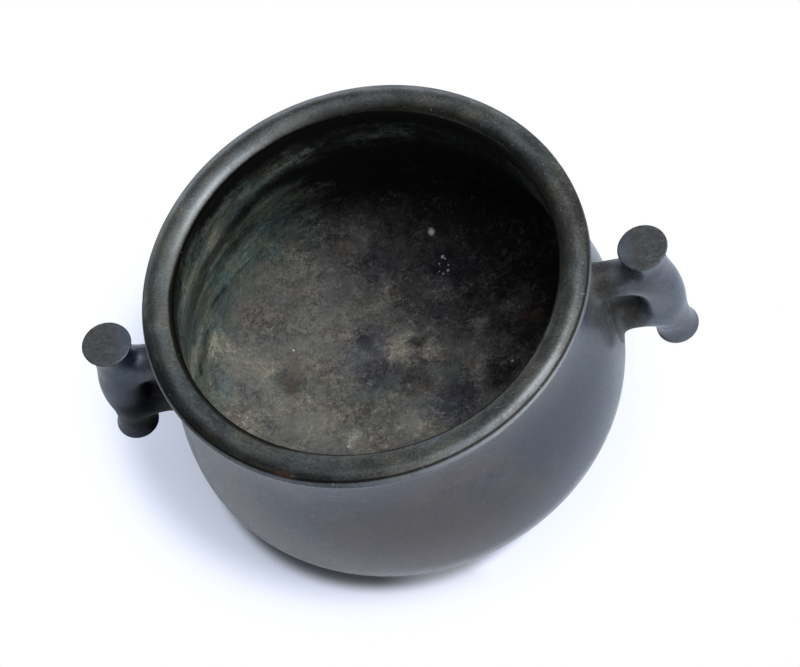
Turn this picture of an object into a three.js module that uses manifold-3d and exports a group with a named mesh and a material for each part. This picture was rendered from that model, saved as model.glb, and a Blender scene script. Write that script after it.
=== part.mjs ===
// A bronze incense burner: a turned bowl with a thick flared rim, a drooping belly and a foot ring,
// and two halberd-shaped handles. Each handle is a casting of its own. A short tenon on the end of
// each of its two struts sits in a blind socket in the belly's wall, and a ring of hard solder
// fills the corner round each root.
// Millimetres, +Z up. The origin is the centre of the foot ring's resting face, handles along X.
import * as THREE from "three";
import { mergeVertices } from "three/addons/utils/BufferGeometryUtils.js";
import Module from "manifold-3d";

// Bowl. Radii are from its axis, rises and drops from the level that each name says.
const height = 78;
const rimRadius = 61;
const rimWidth = 8.7;
const crownInset = 4;
const crownRise = 2;
const mouthDrop = 2.4;
const lipRound = 1.5;
const neckInset = 5;
const neckDrop = 10;
const bellyRadius = 63;
const bellyLevel = 28;
const wall = 3.8;
const neckWall = 3.4;

// Foot ring and floor.
const footRadius = 45.5;
const footHeight = 4.6;
const footDraft = 1;
const footStep = 2.8;
const footThroat = 1.6;
const footRingWidth = 4;
const recessDepth = 4.6;
const recessRound = 1.2;
const floorThickness = 4.2;
const floorRadius = 28;

// Handle rod. Drops are measured along it from its top face, rises from its bottom face.
const rodStandoff = 10.6;
const rodTopDrop = 11;
const rodLength = 45;
const rodLeanDegrees = 5;
const topEndRadius = 6.7;
const bottomEndRadius = 6;
const endEdge = 0.6;
const waistRadius = 4.9;
const swellRadius = 6.2;
const topWaistDrop = 7;
const bottomWaistRise = 6.8;

// Struts and their joints with the wall.
const upperStrutDrop = 13.6;
const lowerStrutRise = 12.6;
const strutRadius = 5.1;
const strutFlare = 4.4;
const tenonRadius = 3.2;
const socketDepth = 1.8;
const solderLeg = 2.6;
const solderEdge = 0.5;
const clearance = 0.3;

// How finely the curved surfaces are faceted.
const bowlSides = 64;
const handleSides = 24;
const curveSteps = 5;
const handleSteps = 4;

// How far the handles of each curve reach, as shares of the rise or width that the curve spans.
const bellyTopShare = 0.45;
const neckUnderShare = 0.4;
const flareShare = 0.5;
const lipPullShare = 0.28;
const crownShare = 0.55;
const mouthShare = 0.5;
const throatShare = 0.6;
const throatEaseShare = 0.3;
const cellarShare = 0.62;
const waistShare = 0.45;
const endFlareShare = 0.35;

const neckRadius = rimRadius - neckInset;
const mouthRadius = rimRadius - rimWidth;
const crownRadius = rimRadius - crownInset;
const rimEdgeLevel = height - crownRise;
const mouthLevel = height - mouthDrop;
const neckLevel = height - neckDrop;
const floorLevel = recessDepth + floorThickness;

const rodReach = bellyRadius + rodStandoff;
const rodTopLevel = height - rodTopDrop;
const rodLean = THREE.MathUtils.degToRad(rodLeanDegrees);
const strutDrops = { upper: upperStrutDrop, lower: rodLength - lowerStrutRise };

const wasm = await Module();
wasm.setup();

// A closed three.js geometry as a manifold-3d solid.
function solidOf(geometry) {
  const bare = geometry.clone();
  bare.deleteAttribute("normal");
  bare.deleteAttribute("uv");
  const merged = mergeVertices(bare);
  const corners = merged.index.array;
  const kept = [];
  for (let i = 0; i < corners.length; i += 3) {
    const [a, b, c] = [corners[i], corners[i + 1], corners[i + 2]];
    if (a !== b && b !== c && c !== a) kept.push(a, b, c);
  }
  const mesh = new wasm.Mesh({
    numProp: 3,
    vertProperties: merged.attributes.position.array,
    triVerts: new Uint32Array(kept),
  });
  return new wasm.Manifold(mesh);
}

// A manifold-3d solid as a flat-shaded three.js geometry.
function geometryOf(solid) {
  const mesh = solid.getMesh();
  const geometry = new THREE.BufferGeometry();
  geometry.setAttribute("position", new THREE.BufferAttribute(mesh.vertProperties, mesh.numProp));
  geometry.setIndex(new THREE.BufferAttribute(mesh.triVerts, 1));
  const flat = geometry.toNonIndexed();
  flat.computeVertexNormals();
  return flat;
}

const point = (radius, level) => new THREE.Vector2(radius, level);
const grown = (points, by) => points.map((p) => point(p.x + by, p.y));

// The solid that an outline of (radius, level) points makes when it turns about +Z.
function turned(points, sides) {
  return solidOf(new THREE.LatheGeometry(points, sides).rotateX(Math.PI / 2));
}

// The geometry that an outline of (radius, reach) points makes when it turns about +X.
function turnedAlongX(points) {
  return new THREE.LatheGeometry(points, handleSides).rotateZ(-Math.PI / 2);
}

// The bowl's outside, from the foot ring's outer corner up to the mouth's edge.
// The belly's lower half is a quarter of an ellipse that springs from just above the foot ring.
function outsideOutline() {
  const springRadius = footRadius + footStep;
  const springLevel = footHeight + footThroat;
  const springAngle = -Math.acos(springRadius / bellyRadius);
  const bellyDrop = (bellyLevel - springLevel) / -Math.sin(springAngle);
  const neckRise = neckLevel - bellyLevel;
  const underLip = point(rimRadius - lipRound, rimEdgeLevel - lipRound);
  const flareRise = underLip.y - neckLevel;
  const lipPull = (underLip.x - neckRadius) * lipPullShare;
  const path = new THREE.Path();
  path.moveTo(footRadius, 0);
  path.quadraticCurveTo(footRadius - footDraft, footHeight, springRadius, springLevel);
  path.absellipse(0, bellyLevel, bellyRadius, bellyDrop, springAngle, 0, false);
  path.bezierCurveTo(
    bellyRadius, bellyLevel + neckRise * bellyTopShare,
    neckRadius, neckLevel - neckRise * neckUnderShare,
    neckRadius, neckLevel,
  );
  path.bezierCurveTo(
    neckRadius, neckLevel + flareRise * flareShare,
    underLip.x - lipPull, underLip.y - lipPull,
    underLip.x, underLip.y,
  );
  path.quadraticCurveTo(rimRadius, underLip.y + lipPull, rimRadius, rimEdgeLevel);
  path.bezierCurveTo(
    rimRadius, rimEdgeLevel + crownRise * crownShare,
    crownRadius + crownInset * crownShare, height,
    crownRadius, height,
  );
  path.bezierCurveTo(
    crownRadius - (crownRadius - mouthRadius) * crownShare, height,
    mouthRadius, mouthLevel + mouthDrop * mouthShare,
    mouthRadius, mouthLevel,
  );
  return path.getPoints(curveSteps);
}

// The bowl's inside, from the mouth's edge down to the middle of the floor.
function insideOutline() {
  const innerNeck = neckRadius - neckWall;
  const innerBelly = bellyRadius - wall;
  const throat = mouthLevel - neckLevel;
  const neckRise = neckLevel - bellyLevel;
  const depth = bellyLevel - floorLevel;
  const path = new THREE.Path();
  path.moveTo(mouthRadius, mouthLevel);
  path.bezierCurveTo(
    mouthRadius, mouthLevel - throat * throatShare,
    innerNeck, neckLevel + throat * throatEaseShare,
    innerNeck, neckLevel,
  );
  path.bezierCurveTo(
    innerNeck, neckLevel - neckRise * neckUnderShare,
    innerBelly, bellyLevel + neckRise * bellyTopShare,
    innerBelly, bellyLevel,
  );
  path.bezierCurveTo(
    innerBelly, bellyLevel - depth * cellarShare,
    floorRadius + (innerBelly - floorRadius) * cellarShare, floorLevel,
    floorRadius, floorLevel,
  );
  path.lineTo(0, floorLevel);
  return path.getPoints(curveSteps);
}

// The underside, from its middle out to the foot ring's inner corner.
function undersideOutline() {
  const ringInside = footRadius - footRingWidth;
  const path = new THREE.Path();
  path.moveTo(0, recessDepth);
  path.lineTo(ringInside - recessRound, recessDepth);
  path.quadraticCurveTo(ringInside, recessDepth, ringInside, recessDepth - recessRound);
  path.lineTo(ringInside, 0);
  return path.getPoints(curveSteps);
}

// Everything inside the bowl's outer surface, with the clearance round it.
function envelope() {
  const outline = grown(outsideOutline(), clearance);
  return turned([point(0, 0), ...outline, point(0, mouthLevel)], bowlSides);
}

// The radius of the bowl's outside at a level between the belly and the neck.
function wallFaceAt(level) {
  const outline = outsideOutline();
  const i = outline.findIndex((p, k) => k > 0 && p.y >= level && outline[k - 1].y < level);
  const [low, high] = [outline[i - 1], outline[i]];
  return low.x + ((high.x - low.x) * (level - low.y)) / (high.y - low.y);
}

// The place on the rod's axis at a drop below its top face: reach from the bowl's axis, and level.
function onRod(drop) {
  return { reach: rodReach + drop * Math.sin(rodLean), level: rodTopLevel - drop * Math.cos(rodLean) };
}

// The solder ring round a strut's root: its bore, the wall's face and slope there, and the
// reach at which the strut comes out of the ring.
function rootOf(drop) {
  const { level } = onRod(drop);
  const bore = strutRadius + clearance;
  const face = wallFaceAt(level);
  const slope = (wallFaceAt(level + bore) - wallFaceAt(level - bore)) / (bore + bore);
  return { level, bore, face, slope, end: face + Math.abs(slope) * bore + solderLeg };
}

// Adds to a rod's outline an S-shaped stretch that leaves and arrives along the rod.
function swellTo(path, fromRadius, fromLevel, toRadius, toLevel) {
  const rise = (toLevel - fromLevel) * waistShare;
  path.bezierCurveTo(fromRadius, fromLevel + rise, toRadius, toLevel - rise, toRadius, toLevel);
}

// The rod, with flared ends and a swelling between its two waists.
function rodSolid() {
  const { lerp } = THREE.MathUtils;
  const topWaistRise = rodLength - topWaistDrop;
  const topEdgeRise = rodLength - endEdge;
  const middle = rodLength / 2;
  const path = new THREE.Path();
  path.moveTo(0, 0);
  path.lineTo(bottomEndRadius, 0);
  path.lineTo(bottomEndRadius, endEdge);
  path.quadraticCurveTo(
    waistRadius, lerp(endEdge, bottomWaistRise, endFlareShare),
    waistRadius, bottomWaistRise,
  );
  swellTo(path, waistRadius, bottomWaistRise, swellRadius, middle);
  swellTo(path, swellRadius, middle, waistRadius, topWaistRise);
  path.quadraticCurveTo(
    waistRadius, lerp(topEdgeRise, topWaistRise, endFlareShare),
    topEndRadius, topEdgeRise,
  );
  path.lineTo(topEndRadius, rodLength);
  path.lineTo(0, rodLength);
  const geometry = new THREE.LatheGeometry(path.getPoints(handleSteps), handleSides);
  geometry.rotateX(Math.PI / 2).translate(0, 0, -rodLength).rotateY(-rodLean);
  return solidOf(geometry.translate(rodReach, 0, rodTopLevel));
}

// One strut, from inside the wall to the rod's axis. Past its solder ring it grows taller.
function strutSolid(drop) {
  const { reach, level } = onRod(drop);
  const flareStart = rootOf(drop).end;
  const flareLength = reach - flareStart;
  const outline = [point(0, mouthRadius), point(strutRadius, mouthRadius)];
  const rings = handleSteps + handleSteps;
  for (let i = 0; i <= rings; i += 1) {
    outline.push(point(strutRadius, flareStart + (flareLength * i) / rings));
  }
  outline.push(point(0, reach));
  const geometry = turnedAlongX(outline);
  const at = geometry.attributes.position;
  for (let i = 0; i < at.count; i += 1) {
    const run = Math.max(0, at.getX(i) - flareStart) / flareLength;
    at.setZ(i, at.getZ(i) * (1 + (run * run * strutFlare) / strutRadius));
  }
  return solidOf(geometry.translate(0, 0, level));
}

// A round bar on a strut's line, from a depth inside the wall out to the rod's axis.
function barSolid(drop, radius, depth) {
  const { reach, level } = onRod(drop);
  const start = wallFaceAt(level) - depth;
  const outline = [point(0, start), point(radius, start), point(radius, reach), point(0, reach)];
  return solidOf(turnedAlongX(outline).translate(0, 0, level));
}

// Hard solder in the corner between a strut and the wall, thinning to an edge on each.
// The shear tilts the ring to the wall's slope and leaves its bore on the strut's line.
function solderSolid(drop) {
  const { level, bore, face, slope } = rootOf(drop);
  const path = new THREE.Path();
  path.moveTo(bore, face - solderLeg);
  path.lineTo(bore + solderLeg, face - solderLeg);
  path.lineTo(bore + solderLeg, face);
  path.quadraticCurveTo(bore + solderEdge, face, bore + solderEdge, face + solderLeg);
  path.lineTo(bore, face + solderLeg);
  path.lineTo(bore, face - solderLeg);
  const tilt = new THREE.Matrix4().makeShear(0, 0, 0, 0, slope, 0);
  const geometry = turnedAlongX(path.getPoints(handleSteps)).applyMatrix4(tilt);
  return solidOf(geometry.translate(0, 0, level)).subtract(envelope());
}

// The whole handle casting, for the +X side.
function handleSolid() {
  let casting = rodSolid();
  for (const drop of Object.values(strutDrops)) casting = casting.add(strutSolid(drop));
  casting = casting.subtract(envelope());
  for (const drop of Object.values(strutDrops)) {
    casting = casting.add(barSolid(drop, tenonRadius, socketDepth - clearance));
  }
  return casting;
}

// The bowl, with a blind socket in its wall for each of the four tenons.
function bowlSolid() {
  const outline = [...undersideOutline(), ...outsideOutline(), ...insideOutline().slice(1)];
  let bowl = turned(outline, bowlSides);
  for (const drop of Object.values(strutDrops)) {
    const socket = barSolid(drop, tenonRadius + clearance, socketDepth);
    bowl = bowl.subtract(socket).subtract(socket.rotate([0, 0, 180]));
  }
  return bowl;
}

const bowlBronze = new THREE.MeshStandardMaterial({ color: 0x3b3a38, roughness: 0.45, metalness: 0.9 });
const handleBronze = new THREE.MeshStandardMaterial({ color: 0x40434a, roughness: 0.4, metalness: 0.9 });
const solder = new THREE.MeshStandardMaterial({ color: 0x4a4944, roughness: 0.55, metalness: 0.85 });

function piece(name, solid, material) {
  const mesh = new THREE.Mesh(geometryOf(solid), material);
  mesh.name = name;
  return mesh;
}

// One handle with its two solder rings, turned to its side of the bowl.
function handleSide(side, turn) {
  const group = new THREE.Group();
  group.add(piece(`${side}_handle`, handleSolid(), handleBronze));
  for (const [place, drop] of Object.entries(strutDrops)) {
    group.add(piece(`${side}_${place}_solder_ring`, solderSolid(drop), solder));
  }
  group.rotation.z = turn;
  return group;
}

const censer = new THREE.Group();
censer.add(piece("vessel_body", bowlSolid(), bowlBronze));
censer.add(handleSide("right", 0));
censer.add(handleSide("left", Math.PI));

export default censer;
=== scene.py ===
"""A bronze incense burner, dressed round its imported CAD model. Lengths are in millimetres unless said."""
from math import acos, cos, pi, radians, sin

import bpy
import numpy as np
from mathutils import Matrix, Vector


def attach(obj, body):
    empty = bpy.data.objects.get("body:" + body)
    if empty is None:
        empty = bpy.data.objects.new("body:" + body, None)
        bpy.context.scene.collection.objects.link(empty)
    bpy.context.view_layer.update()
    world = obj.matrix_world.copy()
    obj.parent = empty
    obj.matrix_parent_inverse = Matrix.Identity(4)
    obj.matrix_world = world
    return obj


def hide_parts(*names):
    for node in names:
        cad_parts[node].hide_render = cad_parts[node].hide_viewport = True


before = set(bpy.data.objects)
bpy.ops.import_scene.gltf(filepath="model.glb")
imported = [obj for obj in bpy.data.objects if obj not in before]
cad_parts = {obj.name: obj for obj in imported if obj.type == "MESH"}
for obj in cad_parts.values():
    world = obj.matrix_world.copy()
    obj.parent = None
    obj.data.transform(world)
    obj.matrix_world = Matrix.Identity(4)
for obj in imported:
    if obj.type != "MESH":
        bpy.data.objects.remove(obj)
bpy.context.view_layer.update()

MM = 0.001

# The bowl as the CAD source has it: radii from its axis, levels above the ground.
HEIGHT = 78.0
RIM_RADIUS = 61.0
MOUTH_RADIUS = 52.3
CROWN_RADIUS = 57.0
RIM_EDGE_LEVEL = 76.0
MOUTH_LEVEL = 75.6
LIP_ROUND = 1.5
NECK_RADIUS = 56.0
NECK_LEVEL = 68.0
BELLY_RADIUS = 63.0
BELLY_LEVEL = 28.0
WALL = 3.8
NECK_WALL = 3.4
FOOT_RADIUS = 45.5
FOOT_HEIGHT = 4.6
FOOT_DRAFT = 1.0
FOOT_RING_WIDTH = 4.0
SPRING_RADIUS = 48.3
SPRING_LEVEL = 6.2
RECESS_DEPTH = 4.6
RECESS_ROUND = 1.2
FLOOR_LEVEL = 8.8
FLOOR_RADIUS = 28.0

# The rim's flank ends at an edge, where its rounded crown starts.
FLANK_RISE = 0.3
FLANK_END = (60.65, 76.45)
CROWN_START = (-1.1, 0.66)
CROWN_REACH = 1.4

# How far each curve is drawn out, as a share of its rise, fall or width.
BELLY_SHARE = 0.45
NECK_SHARE = 0.4
FLARE_SHARE = 0.5
LIP_SHARE = 0.28
CROWN_SHARE = 0.55
MOUTH_SHARE = 0.5
THROAT_SHARE = 0.6
THROAT_FOOT_SHARE = 0.3
FLOOR_SHARE = 0.62

# A handle's rod and struts. Drops are measured along the rod from its top face.
ROD_REACH = 73.6
ROD_TOP_LEVEL = 67.0
ROD_LENGTH = 45.0
ROD_LEAN = radians(5.0)
TOP_END_RADIUS = 6.85
BOTTOM_END_RADIUS = 6.0
WAIST_RADIUS = 4.9
SWELL_RADIUS = 6.2
END_EDGE = 0.6
TOP_WAIST_DROP = 7.0
BOTTOM_WAIST_DROP = 38.2
SWELL_SHARE = 0.45
END_SHARE = 0.32
END_BEND = 0.1
STRUT_DROPS = {"upper": 13.6, "lower": 32.4}
STRUT_RADIUS = 5.1

# How finely the turned surfaces are divided.
AROUND = 384
STEPS = 26
LIP_STEPS = 12
FLANK_STEPS = 6
RECESS_STEPS = 8

# The rim is broadest at the front, where its inner edge stands this much further in.
FRONT_SWELL = 1.2
FRONT_MIDDLE = radians(-97.0)
FRONT_SPREAD = radians(38.0)
FRONT_REACH = 2.6


def bezier(points, steps=STEPS):
    """Points on a Bezier curve of any order, without its first one."""
    t = np.linspace(0, 1, steps + 1)[1:, None, None]
    work = np.repeat(np.array(points, float)[None], steps, axis=0)
    while work.shape[1] > 1:
        work = work[:, :-1] * (1 - t) + work[:, 1:] * t
    return work[:, 0]


def upright(start, end, leave, arrive, steps=STEPS):
    """A curve that is upright at both ends, drawn out there by shares of its rise."""
    rise = end[1] - start[1]
    first, second = (start[0], start[1] + rise * leave), (end[0], end[1] - rise * arrive)
    return bezier([start, first, second, end], steps)


def joined(parts):
    return np.concatenate([np.array(part, float) for part in parts])


def outside_outline():
    """The bowl's outside from the foot ring's outer corner up to the mouth's edge."""
    foot, belly, neck = (FOOT_RADIUS, 0), (BELLY_RADIUS, BELLY_LEVEL), (NECK_RADIUS, NECK_LEVEL)
    edge, crown, mouth = (RIM_RADIUS, RIM_EDGE_LEVEL), (CROWN_RADIUS, HEIGHT), (MOUTH_RADIUS, MOUTH_LEVEL)
    under = (RIM_RADIUS - LIP_ROUND, RIM_EDGE_LEVEL - LIP_ROUND)
    pull = (under[0] - NECK_RADIUS) * LIP_SHARE
    spring = acos(SPRING_RADIUS / BELLY_RADIUS)
    drop = (BELLY_LEVEL - SPRING_LEVEL) / sin(spring)
    turn = np.linspace(-spring, 0, 2 * STEPS + 1)[1:]
    return joined([
        [foot],
        bezier([foot, (FOOT_RADIUS - FOOT_DRAFT, FOOT_HEIGHT), (SPRING_RADIUS, SPRING_LEVEL)]),
        np.stack([BELLY_RADIUS * np.cos(turn), BELLY_LEVEL + drop * np.sin(turn)], 1),
        upright(belly, neck, BELLY_SHARE, NECK_SHARE, 2 * STEPS),
        bezier([neck, (NECK_RADIUS, NECK_LEVEL + (under[1] - NECK_LEVEL) * FLARE_SHARE),
                (under[0] - pull, under[1] - pull), under]),
        bezier([under, (RIM_RADIUS, under[1] + pull), edge], LIP_STEPS),
        bezier([edge, (RIM_RADIUS, RIM_EDGE_LEVEL + FLANK_RISE), FLANK_END], FLANK_STEPS),
        bezier([FLANK_END, (FLANK_END[0] + CROWN_START[0], FLANK_END[1] + CROWN_START[1]),
                (CROWN_RADIUS + CROWN_REACH, HEIGHT), crown]),
        bezier([crown, (CROWN_RADIUS - (CROWN_RADIUS - MOUTH_RADIUS) * CROWN_SHARE, HEIGHT),
                (MOUTH_RADIUS, MOUTH_LEVEL + (HEIGHT - MOUTH_LEVEL) * MOUTH_SHARE), mouth]),
    ])


def inside_outline():
    """The bowl's inside from under the mouth's edge to short of the floor's middle."""
    neck, belly = (NECK_RADIUS - NECK_WALL, NECK_LEVEL), (BELLY_RADIUS - WALL, BELLY_LEVEL)
    depth = BELLY_LEVEL - FLOOR_LEVEL
    reach = FLOOR_RADIUS + (belly[0] - FLOOR_RADIUS) * FLOOR_SHARE
    spread = np.linspace(FLOOR_RADIUS, 0, STEPS + 1)[1:-1]
    return joined([
        upright((MOUTH_RADIUS, MOUTH_LEVEL), neck, THROAT_SHARE, THROAT_FOOT_SHARE),
        upright(neck, belly, NECK_SHARE, BELLY_SHARE, 2 * STEPS),
        bezier([belly, (belly[0], BELLY_LEVEL - depth * FLOOR_SHARE), (reach, FLOOR_LEVEL),
                (FLOOR_RADIUS, FLOOR_LEVEL)], 2 * STEPS),
        np.stack([spread, np.full(len(spread), FLOOR_LEVEL)], 1),
    ])


def underside_outline():
    """The underside from just off its middle to the foot ring's inner corner."""
    inner = FOOT_RADIUS - FOOT_RING_WIDTH
    start = (inner - RECESS_ROUND, RECESS_DEPTH)
    spread = np.linspace(0, start[0], STEPS + 1)[1:]
    return joined([
        np.stack([spread, np.full(len(spread), RECESS_DEPTH)], 1),
        bezier([start, (inner, RECESS_DEPTH), (inner, RECESS_DEPTH - RECESS_ROUND)], RECESS_STEPS),
        [[inner, 0]],
    ])


def mesh_object(name, verts, faces, attributes=()):
    """A smooth-shaded mesh piece from millimetre points."""
    mesh = bpy.data.meshes.new(name)
    mesh.from_pydata((np.asarray(verts) * MM).tolist(), [], faces)
    for key, values in attributes:
        layer = mesh.attributes.new(key, "FLOAT", "POINT")
        layer.data.foreach_set("value", np.asarray(values, np.float32))
    mesh.shade_smooth()
    mesh.update()
    piece = bpy.data.objects.new(name, mesh)
    bpy.context.scene.collection.objects.link(piece)
    return piece


# The casting's slight unevenness is a sum of waves, deeper on the inner wall. It sinks the whole surface.
UNEVEN_INSIDE = 0.16
UNEVEN_OUTSIDE = 0.05
UNEVEN_INSIDE_FROM = -4
UNEVEN_SINK = 0.03
WAVES = 14
WAVES_AT_MOST = 9
WAVES_SEED = 5
# It fades out towards the resting face and towards the axis.
EVEN_BELOW = 1.0
EVEN_FADE = 3
EVEN_RADIUS = 10

# Small dents on the rim: angle in degrees, radius, level, size, depth.
RIM_DENTS = [
    (-58, 60.6, 77, 1.3, 0.16), (-83, 60.8, 76.6, 1, 0.12), (-104, 60.5, 77, 0.9, 0.14),
    (-128, 60.7, 76.9, 1.2, 0.18), (-152, 60.4, 77.1, 0.8, 0.12), (174, 60.6, 77, 1.1, 0.14),
    (148, 60.7, 76.8, 0.9, 0.12), (96, 60.6, 77, 1.2, 0.15), (61, 60.5, 77.1, 0.9, 0.13),
    (24, 60.7, 76.9, 1, 0.14), (-12, 60.5, 77, 0.9, 0.12), (-36, 53, 77.1, 1, 0.16),
    (-70, 52.8, 77, 0.9, 0.14), (-112, 53, 77.1, 1.1, 0.14), (128, 52.9, 77, 1, 0.15),
    (80, 53, 77.1, 0.8, 0.14),
]
DENT_STRENGTH = 0.6


def smooth_noise(around, along):
    """Smooth values from -1 to 1 on a grid that closes round the bowl."""
    rng = np.random.default_rng(WAVES_SEED)
    theta = np.linspace(0, 2 * pi, around, endpoint=False)[None, :]
    s = np.linspace(0, 1, along)[:, None]
    total = np.zeros((along, around))
    for _ in range(WAVES):
        k = rng.integers(1, WAVES_AT_MOST + 1)
        m = rng.uniform(0, WAVES_AT_MOST)
        strength = rng.uniform(0.3, 1)
        round_the_bowl = np.sin(k * theta + rng.uniform(0, 6.3))
        up_the_wall = np.sin(2 * pi * m * s + rng.uniform(0, 6.3))
        total += strength * round_the_bowl * up_the_wall
    return total / np.abs(total).max()


def unevenness(profile, along, grid):
    """How far each point of the turned grid is moved out."""
    depth = np.where(along < UNEVEN_INSIDE_FROM, UNEVEN_INSIDE, UNEVEN_OUTSIDE)
    uneven = depth[:, None] * smooth_noise(AROUND, len(profile))
    above_foot = np.clip((profile[:, 1] - EVEN_BELOW) / EVEN_FADE, 0, 1)
    off_axis = np.clip(profile[:, 0] / EVEN_RADIUS, 0, 1)
    uneven = (uneven - UNEVEN_SINK) * (above_foot * off_axis)[:, None]
    for degrees, radius, level, size, dent in RIM_DENTS:
        a = radians(degrees)
        centre = np.array([radius * cos(a), radius * sin(a), level])
        away = np.linalg.norm(grid - centre, axis=-1) / size
        uneven -= DENT_STRENGTH * dent * np.exp(-away * away)
    return uneven


def front_swell(theta, along):
    """How far each point near the mouth's edge stands in."""
    off_front = (theta - FRONT_MIDDLE + pi) % (2 * pi) - pi
    across = np.exp(-(off_front / FRONT_SPREAD) ** 2)[None, :]
    return FRONT_SWELL * across * np.exp(-(along / FRONT_REACH) ** 2)[:, None]


def turned(rows, theta):
    """A profile's points or directions, turned round the axis."""
    out, up = rows[:, 0, None], rows[:, 1, None]
    return np.stack([out * np.cos(theta), out * np.sin(theta), np.repeat(up, len(theta), 1)], -1)


def turned_faces(rows):
    """Quads between the turned rows, and a fan of triangles at each end."""
    def ring(row, place):
        return 1 + row * AROUND + place % AROUND

    last = 1 + rows * AROUND
    faces = [(0, ring(0, j + 1), ring(0, j)) for j in range(AROUND)]
    for i in range(rows - 1):
        faces += [(ring(i, j), ring(i, j + 1), ring(i + 1, j + 1), ring(i + 1, j)) for j in range(AROUND)]
    faces += [(last, ring(rows - 1, j), ring(rows - 1, j + 1)) for j in range(AROUND)]
    return faces


def make_bowl():
    """The whole bowl as one turned surface, its inside marked for the second material."""
    under, outer, inner = underside_outline(), outside_outline(), inside_outline()
    profile = np.concatenate([under, outer, inner])
    mouth = len(under) + len(outer) - 1
    travel = np.concatenate([[0], np.cumsum(np.hypot(*np.diff(profile, axis=0).T))])
    along = travel[mouth] - travel
    theta = np.linspace(0, 2 * pi, AROUND, endpoint=False)
    tangent = np.gradient(profile, axis=0)
    tangent /= np.hypot(*tangent.T)[:, None]
    normal = np.stack([tangent[:, 1], -tangent[:, 0]], 1)
    grid = turned(profile, theta)
    grid += turned(normal, theta) * unevenness(profile, along, grid)[..., None]
    swell = front_swell(theta, along)
    grid[..., 0] -= swell * np.cos(theta)
    grid[..., 1] -= swell * np.sin(theta)
    verts = [(0, 0, RECESS_DEPTH)] + grid.reshape(-1, 3).tolist() + [(0, 0, FLOOR_LEVEL)]
    faces = turned_faces(len(profile))
    run = np.concatenate([[travel[mouth]], np.repeat(along, AROUND), [travel[mouth] - travel[-1]]])
    bowl = mesh_object("bowl", verts, faces, [("along", run)])
    inside = (np.arange(len(faces)) >= AROUND * (1 + mouth)).astype(int)
    bowl.data.materials.append(None)
    bowl.data.materials.append(None)
    bowl.data.polygons.foreach_set("material_index", inside)
    return bowl


# The widths over which the handle's parts and the wall run into each other, and the struts' depth in it.
ROD_BLEND = 6.6
ROD_EDGE_BLEND = 0.5
STRUT_BLEND = 4.0
STRUT_END_BLEND = 6.0
ROOT_BLEND = 4.8
ROOT_DEPTH = 1.1
STEEPEST = 1.5

# A solder fillet: its reach from strut and wall, how far it is sunk, and its overlap with both.
RING_REACH = 4.8
RING_SINK = 0.02
RING_BITE = 0.35
# Towards its edge it dives under the wall, which is slightly uneven.
RING_DIVE = 0.3
RING_DIVE_WIDTH = 1.8


def smooth_min(a, b, k):
    """The lesser of two distances, blended over a band of k."""
    h = np.maximum(k - np.abs(a - b), 0) / k
    return np.minimum(a, b) - h ** 3 * k / 6


def smooth_max(a, b, k):
    return -smooth_min(-a, -b, k)


def rod_outline():
    """The rod's radius at drops below its top face."""
    top, bottom = (WAIST_RADIUS, TOP_WAIST_DROP), (WAIST_RADIUS, BOTTOM_WAIST_DROP)
    middle = (SWELL_RADIUS, ROD_LENGTH / 2)
    high, low = (TOP_END_RADIUS, END_EDGE * 0.5), (BOTTOM_END_RADIUS, ROD_LENGTH - END_EDGE)
    bend = WAIST_RADIUS + END_BEND
    return joined([
        [(TOP_END_RADIUS, -1), high],
        bezier([high, (bend, END_EDGE + (top[1] - END_EDGE) * END_SHARE), top]),
        upright(top, middle, SWELL_SHARE, SWELL_SHARE),
        upright(middle, bottom, SWELL_SHARE, SWELL_SHARE),
        bezier([bottom, (bend, low[1] - (low[1] - bottom[1]) * END_SHARE), low]),
        [(BOTTOM_END_RADIUS, ROD_LENGTH + 1)],
    ])


def on_rod(drop):
    """Reach and level on the rod's axis at a drop below its top face."""
    return ROD_REACH + drop * sin(ROD_LEAN), ROD_TOP_LEVEL - drop * cos(ROD_LEAN)


def rod_field(p):
    """Distance to the rod's surface, negative inside."""
    down = np.array([sin(ROD_LEAN), 0, -cos(ROD_LEAN)])
    q = p - np.array([ROD_REACH, 0, ROD_TOP_LEVEL])
    s = q @ down
    rho = np.linalg.norm(q - s[..., None] * down, axis=-1)
    outline = rod_outline()
    radius = np.interp(s, outline[:, 1], outline[:, 0])
    slope = np.interp(s, outline[:, 1], np.gradient(outline[:, 0], outline[:, 1]))
    side = (rho - radius) / np.sqrt(1 + np.minimum(slope * slope, STEEPEST))
    ends = np.maximum(-s, s - ROD_LENGTH)
    return smooth_max(side, ends, ROD_EDGE_BLEND)


def strut_field(p, drop):
    """Distance to a strut, a round bar that ends softly on the rod's axis."""
    reach, level = on_rod(drop)
    away = np.hypot(p[..., 1], p[..., 2] - level) - STRUT_RADIUS
    return smooth_max(away, p[..., 0] - reach, STRUT_END_BLEND)


def casting_field(p):
    """Distance to the rod and both struts, which run into each other."""
    struts = smooth_min(*[strut_field(p, drop) for drop in STRUT_DROPS.values()], STRUT_BLEND)
    return smooth_min(rod_field(p), struts, ROD_BLEND)


def wall_field(p):
    """Distance to the bowl's outside between foot and neck, negative within."""
    outline = outside_outline()[STEPS:-2 * STEPS - LIP_STEPS]
    radius = np.interp(p[..., 2], outline[:, 1], outline[:, 0])
    slope = np.interp(p[..., 2], outline[:, 1], np.gradient(outline[:, 0], outline[:, 1]))
    return (np.hypot(p[..., 0], p[..., 1]) - radius) / np.sqrt(1 + slope * slope)


def handle_field(p):
    """The whole handle casting, with struts that end inside the wall."""
    return np.maximum(casting_field(p), -wall_field(p) - ROOT_DEPTH)


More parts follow.
